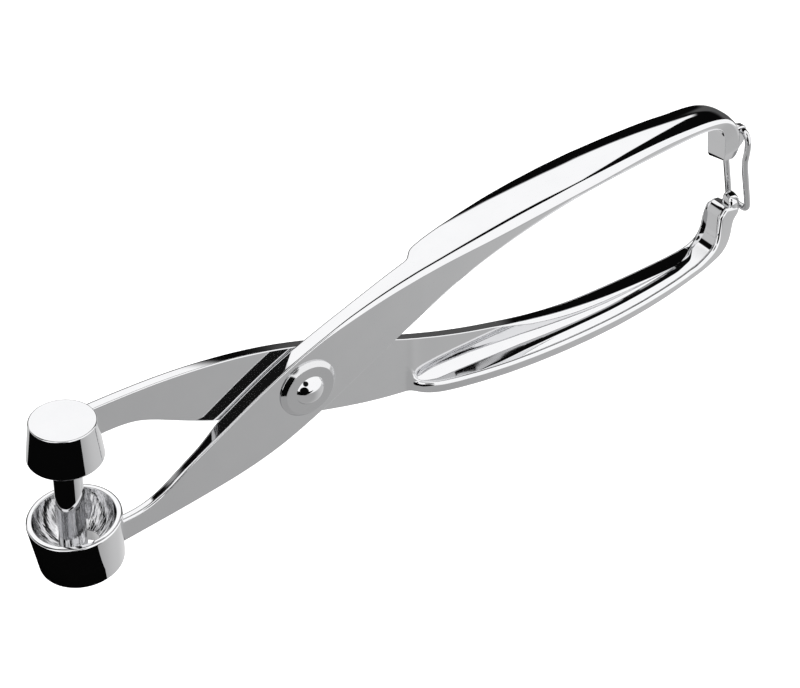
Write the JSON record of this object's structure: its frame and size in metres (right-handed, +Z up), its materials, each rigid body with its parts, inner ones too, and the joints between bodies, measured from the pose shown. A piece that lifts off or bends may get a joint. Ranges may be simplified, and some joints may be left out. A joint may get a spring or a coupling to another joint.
{
  "type": "olive pitter",
  "caption": "Hand-held olive pitter of two chromed cast levers crossing at a rivet, with a small cup, a round plunger with a polished rod, and a wire bail that locks the handles",
  "frame": {"origin": "middle of the bounding box in X and Y, at the height of the cup's foot and the lowest point of the lower handle", "axes": "+X along the tool from the cup towards the ends of the handles, +Y across the tool away from the front lever's outer face, +Z up, from the cup's foot towards the plunger's head"},
  "size_m": [0.2129, 0.022, 0.0508],
  "materials": {
    "chrome": "polished chrome plating on zinc castings and turned parts",
    "polished rod": "mirror polished steel rod",
    "washer": "plated steel washer with a finely turned face",
    "bail wire": "bright drawn steel wire",
    "spring wire": "plain drawn spring wire"
  },
  "bodies": {
    "cup_side": {"cup_lever": "chrome", "cup": "chrome", "pivot_rivet": "chrome", "front_washer": "washer", "rear_washer": "washer", "opening_spring": "spring wire"},
    "plunger_side": {"head_lever": "chrome", "plunger_head": "chrome", "plunger_rod": "polished rod"},
    "bail": {"locking_bail": "bail wire"}
  },
  "joints": [
    {"name": "lever_pivot", "type": "hinge", "parent": "cup_side", "child": "plunger_side", "pos_m": [-0.03484, 0, 0.02375], "axis": [0, 1, 0], "range_deg": [-5, 24], "stiffness_Nm_per_rad": 0.5, "springref_deg": 24.01, "deforming": ["opening_spring"]},
    {"name": "bail_hinge", "type": "hinge", "parent": "cup_side", "child": "bail", "pos_m": [0.10316, -0.0009, 0.04165], "axis": [0, -1, 0], "range_deg": [0, 150]}
  ]
}
